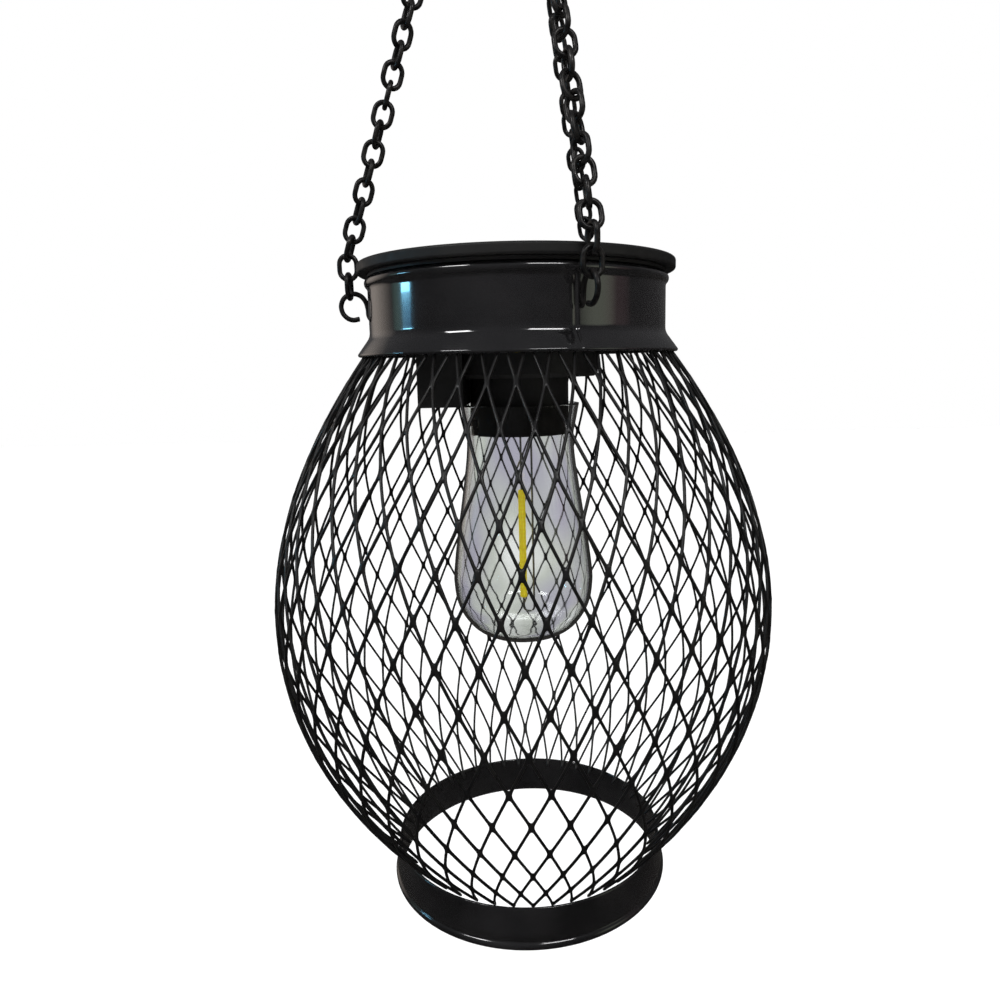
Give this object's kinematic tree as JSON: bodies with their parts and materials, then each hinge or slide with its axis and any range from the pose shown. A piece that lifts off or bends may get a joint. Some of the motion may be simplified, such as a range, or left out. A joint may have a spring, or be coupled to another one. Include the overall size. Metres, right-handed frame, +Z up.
{
  "type": "solar garden light",
  "caption": "Hanging solar garden lantern: barrel cage of black expanded metal with a clear filament bulb under a round solar lid, on three chains.",
  "frame": {"origin": "hanging point: inside of the upper bend of the hanging hook, where a support bears", "axes": "+Z up along the lantern axis, -Y towards the front, +X to the right"},
  "size_m": [0.1662, 0.1662, 0.4356],
  "materials": {
    "gloss_black_paint": "gloss",
    "satin_black_paint": "satin",
    "black_chain": "satin",
    "zinc_wire": "satin",
    "black_plastic": "matte",
    "clear_window": "clear",
    "silicon_cell": "satin",
    "seal_rubber": "matte",
    "cell_sleeve": "gloss",
    "spring_steel": "satin",
    "board_laminate": "satin",
    "component_black": "matte",
    "switch_plastic": "matte",
    "wire_red": "satin",
    "contact_brass": "satin",
    "clear_plastic": "clear",
    "phosphor": "satin",
    "lead_wire": "satin"
  },
  "bodies": {
    "hook": {"hanging_hook": "zinc_wire"},
    "ring": {"gather_ring": "zinc_wire"},
    "lantern": {"chain_left": "black_chain", "chain_front": "black_chain", "chain_back": "black_chain", "collar_hook_left": "black_chain", "collar_hook_front": "black_chain", "collar_hook_back": "black_chain", "collar": "gloss_black_paint", "lid_catches": "gloss_black_paint", "mesh_cage": "satin_black_paint", "foot_ring": "gloss_black_paint"},
    "solar_unit": {"solar_lid": "black_plastic", "solar_window": "clear_window", "solar_cell": "silicon_cell", "gasket_ring": "seal_rubber", "lid_base": "black_plastic", "battery_door": "black_plastic", "battery_cell": "cell_sleeve", "battery_spring": "spring_steel", "battery_plate": "spring_steel", "circuit_board": "board_laminate", "board_components": "component_black", "switch_body": "component_black", "housing_screws": "spring_steel", "solar_leads": "wire_red", "lamp_socket": "black_plastic", "socket_contacts": "contact_brass", "lamp_leads": "wire_red"},
    "switch": {"switch_knob": "switch_plastic"},
    "bulb": {"bulb_shell": "clear_plastic", "bulb_plug": "black_plastic", "bulb_keys": "black_plastic", "bulb_contacts": "contact_brass", "led_filament": "phosphor", "filament_leads": "lead_wire"}
  },
  "joints": [
    {"name": "ring_swing", "type": "hinge", "parent": "hook", "child": "ring", "pos_m": [0, 0, -0.0305], "axis": [1, 0, 0], "range_deg": [-30, 30]},
    {"name": "lantern_swing", "type": "hinge", "parent": "ring", "child": "lantern", "pos_m": [0, 0, -0.04575], "axis": [0, 1, 0], "range_deg": [-30, 30]},
    {"name": "lid_turn", "type": "hinge", "parent": "lantern", "child": "solar_unit", "pos_m": [0, 0, -0.23255], "axis": [0, 0, 1], "range_deg": [-25, 0]},
    {"name": "bulb_turn", "type": "hinge", "parent": "solar_unit", "child": "bulb", "pos_m": [0, 0, -0.27255], "axis": [0, 0, 1], "range_deg": [0, 32]},
    {"name": "switch_slide", "type": "slide", "parent": "solar_unit", "child": "switch", "axis": [1, 0, 0], "range_m": [0, 0.004]}
  ]
}
